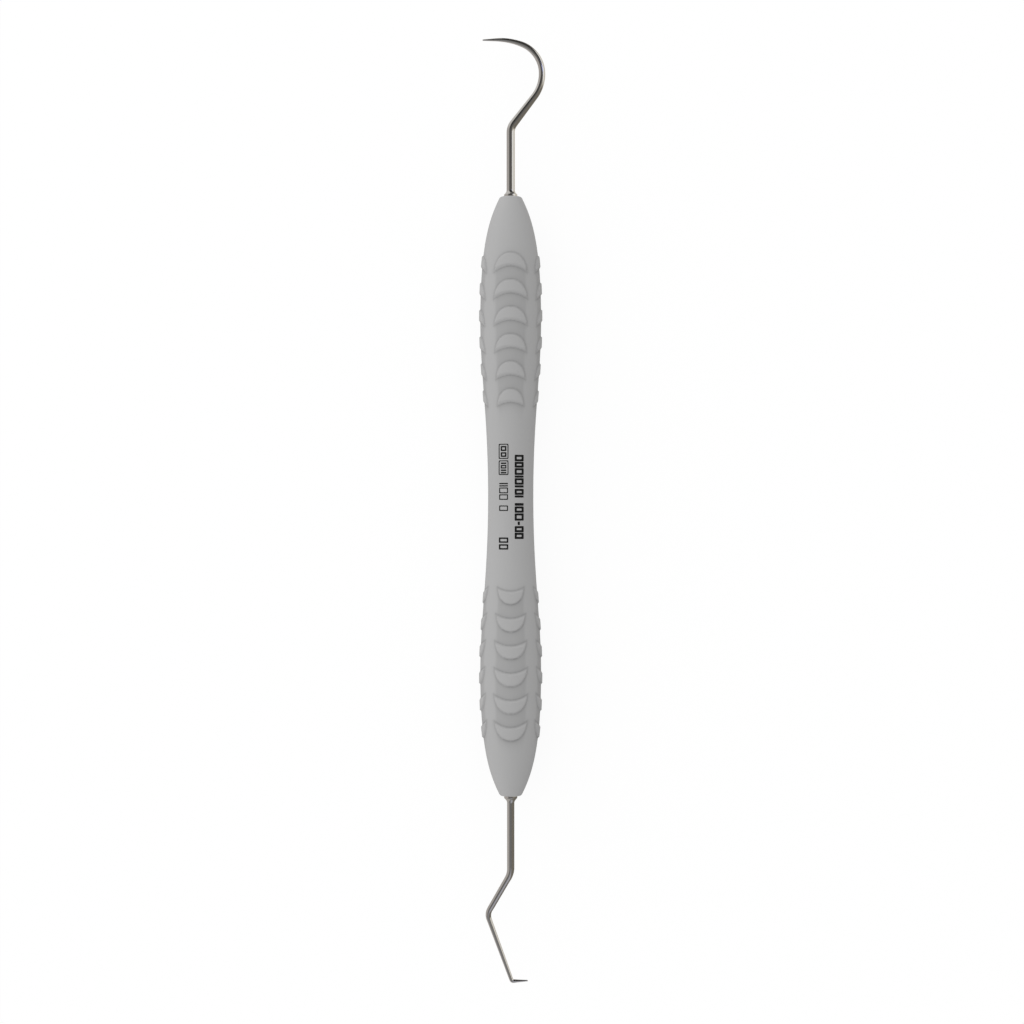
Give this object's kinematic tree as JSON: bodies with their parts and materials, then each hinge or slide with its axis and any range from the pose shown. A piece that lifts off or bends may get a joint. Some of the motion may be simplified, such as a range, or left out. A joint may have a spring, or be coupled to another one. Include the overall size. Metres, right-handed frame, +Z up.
{
  "type": "dental explorer",
  "caption": "Double-ended dental explorer: shepherd's hook and right-angle tip on steel shanks in a waisted soft grip with raised crescents.",
  "frame": {"origin": "on the tray under the middle of the instrument's bounding box, as it lies", "axes": "+X along the handle towards the shepherd's hook, +Z up, all bends of both wires flat in the XY plane"},
  "size_m": [0.178, 0.0124, 0.0118],
  "materials": {
    "grey_silicone": "fine matt moulded silicone",
    "drawn_stainless": "plain drawn and turned stainless",
    "polished_stainless": "mirror polished stainless",
    "black_pad_print": "matt black pad-printing ink"
  },
  "bodies": {
    "root": {"silicone_grip": "grey_silicone", "handle_core_tube": "drawn_stainless", "hook_end_ferrule": "drawn_stainless", "right_angle_end_ferrule": "drawn_stainless", "hook_explorer_end": "polished_stainless", "right_angle_explorer_end": "polished_stainless"}
  },
  "joints": []
}
